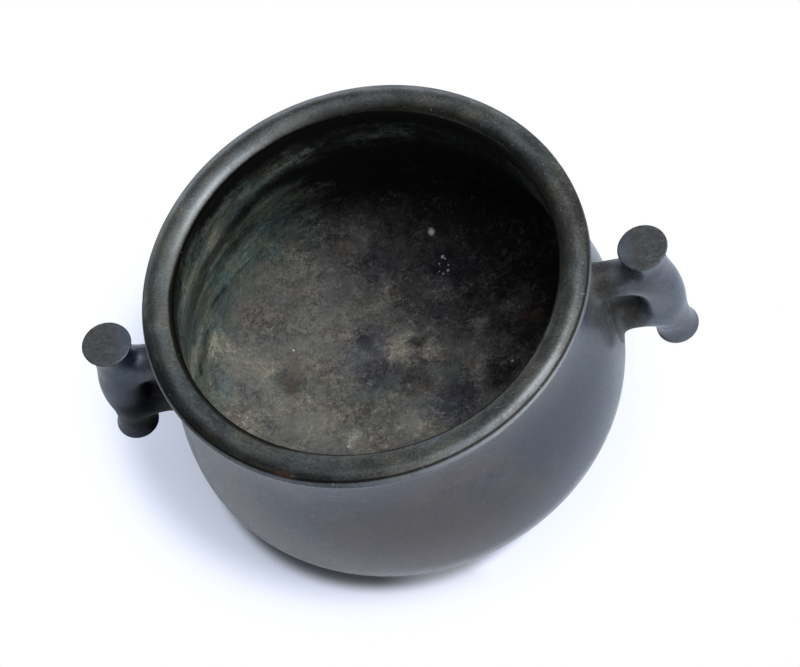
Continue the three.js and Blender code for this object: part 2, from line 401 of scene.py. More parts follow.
def ring_field(p, drop):
    """One solder fillet: the blend of strut and wall, hollow for the strut."""
    wall, strut = wall_field(p), strut_field(p, drop)
    edge = np.clip((strut - RING_REACH) / RING_DIVE_WIDTH + 1, 0, 1)
    blended = smooth_min(casting_field(p), wall, ROOT_BLEND) + RING_SINK + RING_DIVE * edge ** 2
    reach = np.maximum(strut - RING_REACH, wall - RING_REACH)
    bite = np.maximum(-strut - RING_BITE, -wall - RING_BITE)
    return np.maximum(np.maximum(blended, reach), bite)


def corner(values, shift):
    """The values at one corner of every cell of a grid."""
    return values[tuple(slice(s, n - 1 + s) for s, n in zip(shift, values.shape))]


def edge_crossings(values):
    """The sum and number of the places where the surface crosses each cell's edges."""
    cells = tuple(n - 1 for n in values.shape)
    total = np.zeros(cells + (3,))
    count = np.zeros(cells)
    for axis in range(3):
        for shifts in ((0, 0), (0, 1), (1, 0), (1, 1)):
            near, far = list(shifts), list(shifts)
            near.insert(axis, 0)
            far.insert(axis, 1)
            a, b = corner(values, near), corner(values, far)
            crossing = (a < 0) != (b < 0)
            at = np.full(cells + (3,), near, float)
            at[..., axis] = np.where(crossing, a / np.where(crossing, a - b, 1), 0)
            total += np.where(crossing[..., None], at, 0)
            count += crossing
    return total, count


def quads_between(inside, index):
    """A quad across every grid edge that the surface crosses, between the cells round it."""
    faces = []
    for axis, (a, b) in enumerate([(1, 2), (2, 0), (0, 1)]):
        cells = np.argwhere(np.diff(inside, axis=axis))
        within = (cells[:, a] > 0) & (cells[:, a] < inside.shape[a] - 1)
        within &= (cells[:, b] > 0) & (cells[:, b] < inside.shape[b] - 1)
        cells = cells[within]
        quad = []
        for da, db in ((-1, -1), (0, -1), (0, 0), (-1, 0)):
            c = cells.copy()
            c[:, a] += da
            c[:, b] += db
            quad.append(index[tuple(c.T)])
        quad = np.stack(quad, 1)
        backward = ~inside[tuple(cells.T)]
        quad[backward] = quad[backward][:, ::-1]
        faces.append(quad)
    return np.concatenate(faces).tolist()


# How often a point is moved, how far off its slope is measured and how far it moves, as shares of a grid's
# step, and the least square of a slope.
MOVES = 3
PROBE = 0.2
LONGEST_MOVE = 0.5
LEAST_SLOPE = 0.2


def drawn_onto(field, verts, step):
    """Moves points that lie near the zero surface of a field onto it."""
    small = step * PROBE
    for _ in range(MOVES):
        value = field(verts)
        slope = np.stack([(field(verts + small * e) - field(verts - small * e)) / (2 * small)
                          for e in np.eye(3)], -1)
        move = value[:, None] * slope / np.maximum((slope ** 2).sum(-1), LEAST_SLOPE)[:, None]
        verts = verts - np.clip(move, -step * LONGEST_MOVE, step * LONGEST_MOVE)
    return verts


def surface_of(field, low, high, step):
    """Quads on the zero surface of a field, with one point in each cell that it crosses."""
    axes = [np.arange(l, h + step, step) for l, h in zip(low, high)]
    values = field(np.stack(np.meshgrid(*axes, indexing="ij"), -1))
    total, count = edge_crossings(values)
    used = count > 0
    index = np.full(used.shape, -1)
    index[used] = np.arange(used.sum())
    verts = np.array(low) + (np.argwhere(used) + total[used] / count[used][:, None]) * step
    return drawn_onto(field, verts, step), quads_between(values < 0, index)


HANDLE_STEP = 0.27
RING_STEP = 0.22
MARGIN = 1.5
ROOT_START = BELLY_RADIUS - 9


def solder_fillet(drop):
    level = on_rod(drop)[1]
    span = STRUT_RADIUS + RING_REACH + MARGIN
    low = [ROOT_START, -span, level - span]
    high = [BELLY_RADIUS + RING_REACH + MARGIN, span, level + span]

    def field(p):
        return ring_field(p, drop)

    return surface_of(field, low, high, RING_STEP)


def side_piece(name, verts, faces, turn):
    """A piece on the right, or turned to the left, with its drops and distances from the wall."""
    spun = np.array(verts)
    if turn:
        spun[:, :2] *= -1
    drop = ROD_TOP_LEVEL - verts[:, 2]
    return mesh_object(name, spun, faces, [("drop", drop), ("off_wall", wall_field(verts))])


def make_handles():
    """Both handles and their fillets. The left side is the right one turned half round."""
    reach = ROD_REACH + ROD_LENGTH * sin(ROD_LEAN) + TOP_END_RADIUS
    low = [ROOT_START, -TOP_END_RADIUS - MARGIN, ROD_TOP_LEVEL - ROD_LENGTH - MARGIN]
    high = [reach + MARGIN, TOP_END_RADIUS + MARGIN, ROD_TOP_LEVEL + MARGIN]
    casting = surface_of(handle_field, low, high, HANDLE_STEP)
    rings = {place: solder_fillet(drop) for place, drop in STRUT_DROPS.items()}
    made = []
    for side, turn in (("right", False), ("left", True)):
        piece = side_piece(f"{side}_handle_casting", *casting, turn)
        made.append((piece, f"{side}_handle", "handle_bronze"))
        for place, ring in rings.items():
            piece = side_piece(f"{side}_{place}_solder_fillet", *ring, turn)
            made.append((piece, f"{side}_{place}_solder_ring", "solder"))
    return made


class Nodes:
    """Adds nodes to one tree and links them as they are named."""

    def __init__(self, tree):
        self.tree = tree

    def add(self, kind, inputs=(), **settings):
        node = self.tree.nodes.new("ShaderNode" + kind)
        for key, value in settings.items():
            setattr(node, key, value)
        for key, value in dict(inputs).items():
            if isinstance(value, bpy.types.NodeSocket):
                self.tree.links.new(value, node.inputs[key])
            else:
                node.inputs[key].default_value = value
        return node

    def math(self, operation, a, b=0, clamp=False):
        return self.add("Math", {0: a, 1: b}, operation=operation, use_clamp=clamp).outputs[0]

    def plus(self, a, b):
        return self.math("ADD", a, b)

    def minus(self, a, b):
        return self.math("SUBTRACT", a, b)

    def times(self, a, b):
        return self.math("MULTIPLY", a, b)

    def greater(self, a, b):
        return self.math("MAXIMUM", a, b)

    def size_of(self, a):
        return self.math("ABSOLUTE", a)

    def vector(self, operation, a, b=(0, 0, 0)):
        return self.add("VectorMath", {0: a, 1: b}, operation=operation).outputs[0]

    def measure(self, operation, a, b=(0, 0, 0)):
        return self.add("VectorMath", {0: a, 1: b}, operation=operation).outputs["Value"]

    def scaled(self, at, factor):
        return self.add("VectorMath", {0: at, "Scale": factor}, operation="SCALE").outputs[0]

    def multiply_add(self, a, b, c):
        return self.add("VectorMath", {0: a, 1: b, 2: c}, operation="MULTIPLY_ADD").outputs[0]

    def point(self, **coordinates):
        return self.add("CombineXYZ", coordinates).outputs[0]

    def coordinates(self, at):
        return self.add("SeparateXYZ", {"Vector": at}).outputs

    def attribute(self, name):
        return self.add("Attribute", attribute_name=name).outputs["Fac"]

    def link(self, value, shader, key):
        self.tree.links.new(value, shader.inputs[key])

    def noise(self, at, scale, detail=4, rough=0.55, distort=0):
        inputs = {"Vector": at, "Scale": scale, "Detail": detail, "Roughness": rough, "Distortion": distort}
        return self.add("TexNoise", inputs).outputs["Fac"]

    def span(self, value, low, high, to_low=0, to_high=1):
        inputs = {"Value": value, "From Min": low, "From Max": high, "To Min": to_low, "To Max": to_high}
        return self.add("MapRange", inputs, interpolation_type="SMOOTHSTEP").outputs["Result"]

    def blend(self, amount, a, b, mode="MIX"):
        """Two colours, mixed or multiplied by an amount."""
        a, b = [(*colour, 1) if isinstance(colour, tuple) else colour for colour in (a, b)]
        node = self.add("Mix", {0: amount, 6: a, 7: b}, data_type="RGBA", blend_type=mode)
        return node.outputs[2]

    def tinted(self, colour, tint, amount=1):
        return self.blend(amount, colour, tint, "MULTIPLY")

    def mix(self, amount, a, b):
        return self.add("Mix", {0: amount, 2: a, 3: b}, data_type="FLOAT").outputs[0]

    def ramp(self, value, stops):
        """A colour that runs through stops of position and colour."""
        node = self.add("ValToRGB", {"Fac": value})
        elements = node.color_ramp.elements
        while len(elements) < len(stops):
            elements.new(1)
        for element, (position, colour) in zip(elements, stops):
            element.position = position
            element.color = (*colour, 1)
        return node.outputs["Color"]

    def centred(self, value, amount):
        """A noise value made to swing about nought."""
        return self.times(self.minus(value, 0.5), amount)

    def warped(self, at, scale, amount):
        """Coordinates pushed about by a soft noise, which makes edges ragged."""
        inputs = {"Vector": at, "Scale": scale, "Detail": 4, "Roughness": 0.6}
        cloud = self.add("TexNoise", inputs).outputs["Color"]
        push = self.vector("SUBTRACT", cloud, (0.5, 0.5, 0.5))
        return self.multiply_add(push, (amount,) * 3, at)

    def patches(self, at, places):
        """The sum of soft round patches: each one's middle, flat or in space, size and strength."""
        total = 0
        for *middle, size, amount in places:
            away = self.measure("DISTANCE", at, (*middle, 0)[:3])
            total = self.plus(self.span(away, size * 1.35, size * 0.25, 0, amount), total)
        return total

    def specks(self, at, scale, size, share):
        """Small spots of several sizes and strengths, in a share of the cells."""
        cells = self.add("TexVoronoi", {"Vector": at, "Scale": scale}, feature="F1")
        lot = self.add("SeparateColor", {"Color": cells.outputs["Color"]})
        near = self.span(cells.outputs["Distance"], self.times(lot.outputs[1], size * scale), 0)
        chosen = self.math("LESS_THAN", lot.outputs[0], share)
        return self.times(self.times(near, chosen), lot.outputs[2])

    def scratches(self, at, turn, scale, stretch, low, high):
        """Thin lines that run one way, from a drawn-out noise."""
        drawn = self.add("Mapping", {"Vector": at, "Rotation": turn, "Scale": (stretch, 1, 1)})
        return self.span(self.noise(drawn.outputs[0], scale, 3, 0.5, 0.4), low, high)


def new_material(name, **constants):
    """A material with a Principled shader, its constants set."""
    material, n = empty_material(name)
    shader = n.add("BsdfPrincipled", constants)
    n.add("OutputMaterial", {"Surface": shader.outputs[0]})
    return material, n, shader


def empty_material(name):
    material = bpy.data.materials.new(name)
    material.use_nodes = True
    material.node_tree.nodes.clear()
    return material, Nodes(material.node_tree)


def finish(n, shader, colour, rough, height):
    """Links a material's colour, roughness and height in millimetres."""
    bump = n.add("Bump", {"Height": height, "Distance": MM, "Strength": 1})
    for value, key in ((colour, "Base Color"), (rough, "Roughness"), (bump.outputs[0], "Normal")):
        n.link(value, shader, key)


def millimetres(n):
    """The object's own coordinates in millimetres."""
    return n.scaled(n.add("TexCoord").outputs["Object"], 1 / MM)


def compass(n, place):
    """Degrees round the bowl from +Y, which are also about millimetres along its wall."""
    turn = n.math("ARCTAN2", n.times(place[0], -1), place[1])
    return n.times(turn, 180 / pi)


def outwards(n, at):
    """The direction from the axis. Unlike the compass, it has no seam."""
    return n.vector("NORMALIZE", n.vector("MULTIPLY", at, (1, 1, 0)))


# A thin coat of wax over the patina.
WAX = {"Coat Weight": 0.3, "Coat Roughness": 0.22, "Coat IOR": 1.5}

# The patina where it is browner, bluer, dirty and rubbed.
PATINA_COLOURS = ((0.054, 0.037, 0.036), (0.02, 0.028, 0.042), (0.008, 0.008, 0.011), (0.082, 0.074, 0.072))


def patina(n, at, tint):
    """The satin patina: its colour, its roughness and the height of its grain."""
    warm, cool, dark, pale = [tuple(c * t for c, t in zip(colour, tint)) for colour in PATINA_COLOURS]
    broad = n.noise(n.vector("MULTIPLY", at, (1, 1, 0.7)), 0.045, 4, 0.55, 0.5)
    middle = n.noise(at, 0.15, 6, 0.66, 0.5)
    fine = n.noise(at, 1, 5, 0.74)
    colour = n.blend(n.span(broad, 0.42, 0.6), cool, warm)
    colour = n.blend(n.span(middle, 0.5, 0.66, 0, 0.6), colour, pale)
    colour = n.blend(n.span(middle, 0.5, 0.34, 0, 0.6), colour, dark)
    colour = n.blend(n.span(fine, 0.48, 0.7, 0, 0.45), colour, pale)
    wheel = n.multiply_add(outwards(n, at), (9, 9, 0), n.vector("MULTIPLY", at, (0, 0, 1)))
    wiped = n.noise(wheel, 0.8, 5, 0.7, 0.3)
    colour = n.blend(n.span(wiped, 0.52, 0.74, 0, 0.55), colour, pale)
    curled = n.warped(at, 0.15, 3)
    lines = n.greater(n.scratches(curled, (0.3, 0.9, 0.5), 0.8, 0.07, 0.63, 0.7),
                      n.scratches(curled, (1.2, 0.2, 2.1), 0.9, 0.06, 0.64, 0.71))
    colour = n.blend(n.times(lines, 0.3), colour, (0.15, 0.15, 0.15))
    grit = n.plus(n.centred(fine, 0.08), n.centred(wiped, 0.1))
    rough = n.plus(n.span(middle, 0.3, 0.7, 0.24, 0.36), grit)
    grain = n.noise(at, 2.4, 3, 0.65)
    soft = n.noise(at, 0.2, 2.5, 0.5)
    return colour, rough, n.plus(n.times(grain, 0.006), n.times(soft, 0.05))


def rim_dirt_and_painted_shade(n, around, along, wander):
    """How thickly soiling and painted shade lie on the rim, and where the edge outside its line gets a
    painted reflection.
    """
    turned_by = n.size_of(around)
    inwards = n.minus(n.minus(10.25, n.times(turned_by, 0.011)), along)
    # A dark line along the rim's edge: painted shade, with some real soiling in it.
    off_line = n.size_of(n.plus(inwards, n.times(wander, 0.12)))
    line = n.times(n.span(n.plus(off_line, n.times(wander, 0.1)), 0.6, 0.12),
                   n.span(turned_by, 84, 100, 0, 0.92))
    shifted = n.plus(inwards, wander)
    left = n.times(n.span(around, 84, 96), n.span(around, 154, 130))
    crust = n.times(n.times(left, 0.72), n.span(shifted, 3, 0.8))
    left = n.times(n.span(around, 80, 96), n.span(around, 178, 158, 0, 0.32))
    film = n.times(left, n.span(shifted, 4.2, 2.6))
    # Soot and painted shade at the mouth's edge, thicker on the left.
    thicker = n.times(n.span(around, 66, 88), n.span(around, 176, 140, 0, 0.9))
    by_mouth = n.span(n.minus(n.plus(along, n.times(wander, 0.35)), thicker), 1.5, 0.7)
    soot = n.times(by_mouth, n.span(n.size_of(n.minus(around, 28)), 146, 118))
    by_mouth = n.span(n.plus(along, n.times(wander, 0.5)), 4.8, 1.4, 0, 0.8)
    smoke = n.times(by_mouth, n.span(n.size_of(n.plus(around, 42)), 80, 46))
    dirt_and_painted_shade = line
    for more in (crust, film, soot, smoke):
        dirt_and_painted_shade = n.greater(dirt_and_painted_shade, more)
    # Outside the line the edge is painted pale, a painted reflection of the paper.
    edge_painted_reflection = n.times(n.span(inwards, -0.3, -0.7), n.span(turned_by, 60, 90))
    return n.times(dirt_and_painted_shade, n.minus(1, edge_painted_reflection)), edge_painted_reflection


# Rust by the rim's edge: degrees from +Y, drawn in; distance from the mouth's edge; size; strength.
RUST_STRETCH = 0.3
RIM_RUSTS = [(46.4, 8.2, 1, 1), (44.6, 8.1, 0.6, 0.5), (-31, 8.9, 0.4, 0.4)]
RIM_STOPS = (
    (0.36, (0.011, 0.01, 0.008)), (0.48, (0.026, 0.025, 0.02)),
    (0.58, (0.048, 0.046, 0.038)), (0.7, (0.125, 0.118, 0.102)),
)
# The rim's radius, in the coordinates that its streaks are drawn on.
RIM_ROLL = 27


def rim_rust(n, around, along, fine):
    at = n.point(X=n.times(around, RUST_STRETCH), Y=along)
    rust = n.patches(n.warped(at, 1.2, 0.9), RIM_RUSTS)
    return n.times(rust, n.span(fine, 0.35, 0.55, 0.3, 1))


def rim_dust(n, at):
    """Pale specks and short dashes."""
    dashes = n.scratches(n.warped(at, 0.4, 1.5), (0, 0, 0.9), 1.5, 0.4, 0.66, 0.76)
    specks = n.specks(n.warped(at, 1.6, 0.8), 0.7, 0.36, 0.32)
    return n.greater(n.times(specks, 0.9), n.times(dashes, 0.32))


def rim(n, at, around, along):
    """The rubbed, gritty rim: its colour, roughness, height and how metallic it is, with a highlight
    painted on its left. Its soiled and painted-shade places are dark metal, which reflects little."""
    rolled = n.vector("ADD", n.scaled(outwards(n, at), RIM_ROLL), n.point(Z=along))
    fine = n.noise(at, 1.4, 4, 0.7)
    middle = n.noise(rolled, 0.22, 5, 0.6, 0.3)
    tone = n.plus(n.times(middle, 0.55), n.times(fine, 0.45))
    dull = n.span(tone, 0.54, 0.42)
    hue = n.span(n.noise(rolled, 0.13, 4, 0.6), 0.42, 0.58)
    wander = n.centred(n.noise(rolled, 0.35, 5, 0.66), 2.6)
    dirt_and_painted_shade, edge_painted_reflection = rim_dirt_and_painted_shade(n, around, along, wander)
    # A highlight painted on the rim's left: a paler colour, and less metal where it is clean.
    painted_highlight_left = n.times(n.span(around, 20, 50), n.span(around, 128, 100))
    rust = rim_rust(n, around, along, fine)
    dust = rim_dust(n, at)
    colour = n.tinted(n.ramp(tone, RIM_STOPS), n.blend(hue, (0.88, 1, 1.05), (1.1, 1.02, 0.76)))
    colour = n.tinted(colour, (1.4, 1.48, 1.52), painted_highlight_left)
    colour = n.blend(n.times(edge_painted_reflection, 0.8), colour, (0.12, 0.125, 0.14))
    colour = n.blend(dirt_and_painted_shade, colour, (0.01, 0.008, 0.0045))
    colour = n.blend(rust, colour, (0.058, 0.02, 0.005))
    colour = n.blend(dust, colour, (0.34, 0.33, 0.29))
    rough = n.plus(n.centred(fine, 0.18), n.mix(dirt_and_painted_shade, n.mix(dull, 0.2, 0.28), 0.6))
    metal = n.mix(dirt_and_painted_shade, n.mix(dull, 0.08, 0.46), 1)
    painted_highlight_less_metal = n.times(painted_highlight_left, n.math("SUBTRACT", 0.6, dirt_and_painted_shade, clamp=True))
    for less in (n.greater(n.times(rust, 0.35), dust), painted_highlight_less_metal):
        metal = n.times(metal, n.minus(1, less))
    pits = n.span(n.noise(at, 1.3, 4, 0.74), 0.56, 0.3, 0, 0.01)
    return colour, rough, n.minus(n.times(middle, 0.04), pits), metal


# The dull places round the struts' roots, painted paler against the handles' shade: middle, size and how
# much.
STRUT_ROOTS = [(59.5, 0, 54, 15, 0.95), (63, 0, 35, 14, 0.9), (-59.5, 0, 54, 9, 0.7), (-63, 0, 35, 9, 0.7)]
ROOT_STOPS = ((0.36, (0.05, 0.047, 0.042)), (0.62, (0.145, 0.14, 0.128)))
# Where the belly is bluer and where it is browner.
BLUE_PLACES = [(50, -36, 38, 24, 0.75), (40, -44, 60, 14, 0.6)]
BROWN_PLACES = [
    (0, -61, 40, 26, 0.75), (28, -55, 38, 16, 0.45), (-34, -51, 34, 14, 0.35), (0, 62, 40, 26, 0.5),
]
# How metallic the clean patina looks.
PATINA_METAL = 0.25


def outside_material():
    """The bowl's satin outside and its darker, rubbed rim."""
    material, n, shader = new_material("bowl_patina", IOR=1.7, **WAX)
    at = millimetres(n)
    around = compass(n, n.coordinates(at))
    along = n.attribute("along")
    colour, rough, height = patina(n, at, (1, 1, 1))
    drifted = n.warped(at, 0.08, 14)
    colour = n.blend(n.patches(drifted, BLUE_PLACES), colour, (0.025, 0.032, 0.045))
    colour = n.blend(n.patches(drifted, BROWN_PLACES), colour, (0.057, 0.035, 0.027))
    # Round the struts' roots the patina is duller, and painted paler as a painted light in the handles'
    # shade.
    roots_dull_and_painted_paler = n.patches(n.warped(at, 0.3, 5), STRUT_ROOTS)
    colour = n.blend(roots_dull_and_painted_paler, colour, n.ramp(n.noise(at, 0.6, 4, 0.66), ROOT_STOPS))
    rough = n.mix(roots_dull_and_painted_paler, rough, 0.55)
    flakes = n.specks(n.warped(at, 1.2, 1.6), 0.11, 0.55, 0.3)
    colour = n.blend(flakes, colour, (0.42, 0.4, 0.37))
    # The lip's rounded underside is painted pale, a painted reflection of the paper.
    colour = n.blend(n.times(n.span(along, 12, 10.6), 0.7), colour, (0.15, 0.15, 0.155))
    rim_colour, rim_rough, rim_height, rim_metal = rim(n, at, around, along)
    on_rim = n.times(n.span(along, -0.6, 0.2), n.span(along, 10.1, 9.8))
    colour = n.blend(on_rim, colour, rim_colour)
    rough = n.mix(on_rim, rough, rim_rough)
    height = n.mix(on_rim, height, rim_height)
    n.link(n.mix(on_rim, PATINA_METAL, rim_metal), shader, "Metallic")
    finish(n, shader, colour, rough, height)
    return material


# Patches on the bowl's floor: across, up, size, and how much paler or darker they are.
FLOOR_PATCHES = [
    (-4, 14, 3.8, 0.3), (-0.5, 20, 3, 0.24), (6, 13.2, 3.2, 0.26), (-6, 34, 4.5, 0.2), (-11, 51, 5, 0.22),
    (10, 32, 5, 0.16), (21, 19, 3.5, 0.34), (32, 22, 5, 0.32), (18, 10, 6.5, 0.14), (28, 12, 4, 0.1),
    (-2, -9, 5, 0.22), (-19, -10, 3.5, 0.3), (-35, 0, 9, 0.12), (-27, -6, 6, 0.16), (-48, -2, 4, 0.2),
    (-24, 22, 10, 0.08), (-24, 41, 7, 0.08), (-53, 20, 4, 0.28), (-46, 15, 7, 0.22), (-12, 21, 5.5, -0.2),
    (-11, 9, 6, -0.2), (0, 6, 7, -0.22), (13, -5, 8, -0.24), (25, 2, 5, -0.36), (9, 26, 5, -0.14),
    (-7, 43, 6, -0.1), (14, 38, 6, -0.12), (-46, 7, 4.5, -0.04), (-54, 6, 3.6, 0.12), (-35, 11, 4.5, -0.14),
    (-38, 31, 7, -0.07), (2.6, 16.5, 2.4, -0.3), (34, 12, 4, -0.16), (-16, -3, 4, -0.12),
]
FLOOR_BLUES = [
    (-12, 20, 7, 0.8), (-10, 8, 7, 0.7), (13, -5, 9, 0.9), (-7, 43, 7, 0.6), (14, 38, 8, 0.9),
    (9, 26, 6, 0.5), (-46, 7, 6, 0.2),
]
FLOOR_RUSTS = [
    (-35.5, 9.5, 3.4, 0.6), (-35, 17, 5, 0.35), (3, 1.5, 2.4, 0.6), (17.5, 6, 1.6, 0.6),
    (29, 12.5, 2.6, 0.5), (37, 18, 3.4, 0.5), (4, 16.5, 1.6, 0.4),
]
FLOOR_FLECKS = [
    (10.5, 49.2, 1, 1), (12.6, 41.9, 0.45, 0.9), (13.2, 41.2, 0.35, 0.9), (11.4, 40.1, 0.3, 0.9),
    (13.9, 39.2, 0.3, 0.9), (13.6, 37.6, 0.4, 0.9), (12.1, 36.9, 0.3, 0.8), (11, 37.8, 0.25, 0.8),
    (-33.7, 20.5, 0.4, 1), (-20.3, -13, 0.4, 1), (29, 5, 0.35, 0.9),
]
FLOOR_STOPS = (
    (0, (0.003, 0.002, 0.003)), (0.25, (0.04, 0.034, 0.032)), (0.45, (0.084, 0.076, 0.069)),
    (0.62, (0.14, 0.13, 0.115)), (0.82, (0.215, 0.19, 0.155)), (1, (0.36, 0.33, 0.28)),
)


def floor_look(n, place, flat, uneven, mottle, hue):
    """The floor's grey ash and rust: how pale it is, and its colour."""
    ragged = n.warped(n.warped(flat, 0.14, 11), 0.7, 3)
    far_side = n.plus(n.times(place[0], 0.75), n.times(place[1], 0.66))
    tone = n.plus(n.span(far_side, -5, 55, 0.56, -0.03), n.patches(ragged, FLOOR_PATCHES))
    colour = n.ramp(n.plus(tone, uneven), FLOOR_STOPS)
    colour = n.tinted(colour, (0.82, 0.88, 1.12), n.patches(ragged, FLOOR_BLUES))
    colour = n.tinted(colour, n.blend(hue, (0.96, 1, 0.975), (1.03, 0.98, 0.91)))
    rust = n.times(n.patches(ragged, FLOOR_RUSTS), n.span(mottle, -0.12, 0.12, 0.2, 1))
    colour = n.blend(rust, colour, (0.075, 0.034, 0.016))
    flecks = n.patches(n.warped(flat, 1.6, 1), FLOOR_FLECKS)
    return tone, n.blend(flecks, colour, (0.55, 0.54, 0.5))


# Patches on the inner wall, drawn out round it: degrees from +Y, level, size, how much paler or darker.
WALL_STRETCH = 0.45
WALL_PATCHES = [
    (9, 60, 4.5, 0.16), (-10, 65, 3.2, 0.26), (-1, 64, 2.6, 0.3), (15, 64.8, 1.5, 0.55), (18, 62, 1, 0.35),
    (24, 64, 3, 0.3), (36, 63, 3.6, 0.32), (46, 67, 1.8, 0.22), (54, 61, 4.5, 0.34), (72, 64, 5, 0.26),
    (34, 49, 2.4, 0.24), (25, 48, 2, 0.2), (56, 47, 3, 0.3), (63, 42, 3.2, 0.28), (47, 33, 6, 0.22),
    (70, 21, 4, 0.22), (70, 31, 6, 0.18), (82, 31, 5, 0.26), (90, 52, 5, 0.16), (85, 40, 6, 0.16),
    (20, 54, 3.6, -0.34), (28, 57, 3.4, -0.34), (42, 55, 3, -0.28), (62, 56, 2.4, -0.22), (67, 67, 3, -0.3),
    (27, 34, 5, -0.14), (45, 41, 3.5, -0.18), (-15, 61, 3, 0.12), (50, 71, 2.4, -0.24), (80, 70, 2, -0.2),
    (10, 45, 7, -0.16), (30, 70, 3, -0.24), (100, 40, 9, 0.08), (-120, 45, 9, 0.1), (150, 50, 10, 0.08),
    (78, 24.5, 1.5, -0.3), (90, 21, 1.5, -0.28), (72, 27, 1.4, -0.25), (84, 27.5, 1, -0.3),
    (70, 22, 2, 0.22), (76, 35, 1, -0.3), (58, 29, 1.2, -0.3),
]
WALL_BLUES = [(47, 33, 7, 0.9), (27, 34, 5, 0.4), (75, 45, 6, 0.4), (83, 17, 3.4, 1)]
WALL_STOPS = (
    (0, (0.002, 0.0015, 0.002)), (0.22, (0.022, 0.023, 0.021)), (0.45, (0.068, 0.08, 0.07)),
    (0.65, (0.118, 0.14, 0.122)), (0.85, (0.19, 0.21, 0.175)), (1, (0.36, 0.36, 0.3)),
)
# The wall's streaks: the radius and the rise that they are drawn with.
STREAK_ROLL = 6
STREAK_RISE = 0.6


def along_wall(places):
    return [(degrees * WALL_STRETCH, level, size, amount) for degrees, level, size, amount in places]


def wall_soot(n, around, level, shift):
    """How thick the wall's deep soot at its far side is, and the thin smoke over half of it."""
    from_soot = n.size_of(n.plus(around, 18))
    sooty = n.times(n.span(n.plus(from_soot, shift), 48, 26),
                    n.span(n.plus(level, shift), 63, 54, 0.5, 1))
    from_smoke = n.size_of(n.plus(around, 50))
    return sooty, n.times(n.span(from_smoke, 116, 86), n.span(level, 44, 58, 0, 0.2))


def wall_look(n, at, around, along, level, spoke, bent, shift, uneven, hue):
    """The inner wall's green-grey patches and soot, and shade painted under the mouth: how pale it is, and
    its colour.
    """
    streak_at = n.vector("ADD", n.scaled(spoke, STREAK_ROLL), n.point(Z=n.times(level, STREAK_RISE)))
    streaks = n.centred(n.noise(streak_at, 0.9, 7, 0.78, 0.6), 1.15)
    sooty, smoky = wall_soot(n, around, level, shift)
    tone = n.minus(n.minus(0.54, n.times(sooty, 0.6)), smoky)
    tone = n.plus(tone, n.times(n.patches(bent, along_wall(WALL_PATCHES)), 1.15))
    # Shade painted on the wall just under the mouth, with a ragged edge.
    ragged_lip_shade = n.plus(n.times(shift, 0.3), n.centred(n.noise(at, 0.7, 4, 0.7), 3.5))
    tone = n.minus(tone, n.span(n.plus(along, ragged_lip_shade), -6, -2.5, 0, 0.45))
    colour = n.ramp(n.plus(n.plus(tone, uneven), streaks), WALL_STOPS)
    return tone, n.tinted(colour, n.blend(hue, (0.92, 1.01, 1.03), (1.09, 0.98, 0.88)))


def inside_grit(n, at, colour, ashy):
    """The inside's colour with its pale dashes, dark holes and dust."""
    curled = n.warped(at, 0.5, 3)
    dashes = n.greater(n.scratches(curled, (0, 0, 0.5), 1.5, 0.4, 0.66, 0.74),
                       n.scratches(curled, (0, 0, 2), 1.7, 0.4, 0.66, 0.74))
    colour = n.blend(n.times(dashes, n.times(ashy, 0.5)), colour, (0.38, 0.37, 0.33))
    holes = n.specks(n.warped(at, 1.1, 1.4), 0.5, 0.75, 0.3)
    colour = n.blend(n.times(holes, 0.7), colour, (0.012, 0.011, 0.01))
    dust = n.specks(n.warped(at, 1.8, 0.7), 0.62, 0.34, 0.42)
    return n.blend(n.times(dust, n.plus(ashy, 0.1)), colour, (0.5, 0.49, 0.45))


# The way to where the lip's inside is bare. Elsewhere it is painted black, a painted shade under the
# mouth's edge.
NEAR_RIGHT = (0.87, -0.5, 0)
LIP_PAINTED_SHADE = (0.004, 0.004, 0.0035)
LIP_STOPS = ((0.1, (0.02, 0.02, 0.017)), (0.9, (0.11, 0.11, 0.09)))


def lip_colour(n, spoke, uneven):
    near_right = n.span(n.measure("DOT_PRODUCT", spoke, NEAR_RIGHT), 0.31, 0.56)
    return n.blend(near_right, LIP_PAINTED_SHADE, n.ramp(n.plus(uneven, 0.5), LIP_STOPS))


def inside_crust(n, at):
    """The inside's clouds, mottle and grains together, and the last two alone."""
    clouds = n.centred(n.noise(at, 0.09, 6, 0.7, 0.4), 0.6)
    crust = n.span(n.noise(at, 0.12, 4, 0.6), 0.38, 0.62, 0.42, 1.15)
    mottle = n.times(n.centred(n.noise(at, 0.46, 7, 0.8, 0.6), 1.8), crust)
    mottle = n.greater(mottle, n.times(mottle, 0.68))
    grains = n.times(n.centred(n.noise(at, 1.5, 3, 0.8), 0.85), n.plus(crust, 0.15))
    return n.plus(n.plus(clouds, mottle), grains), mottle, grains


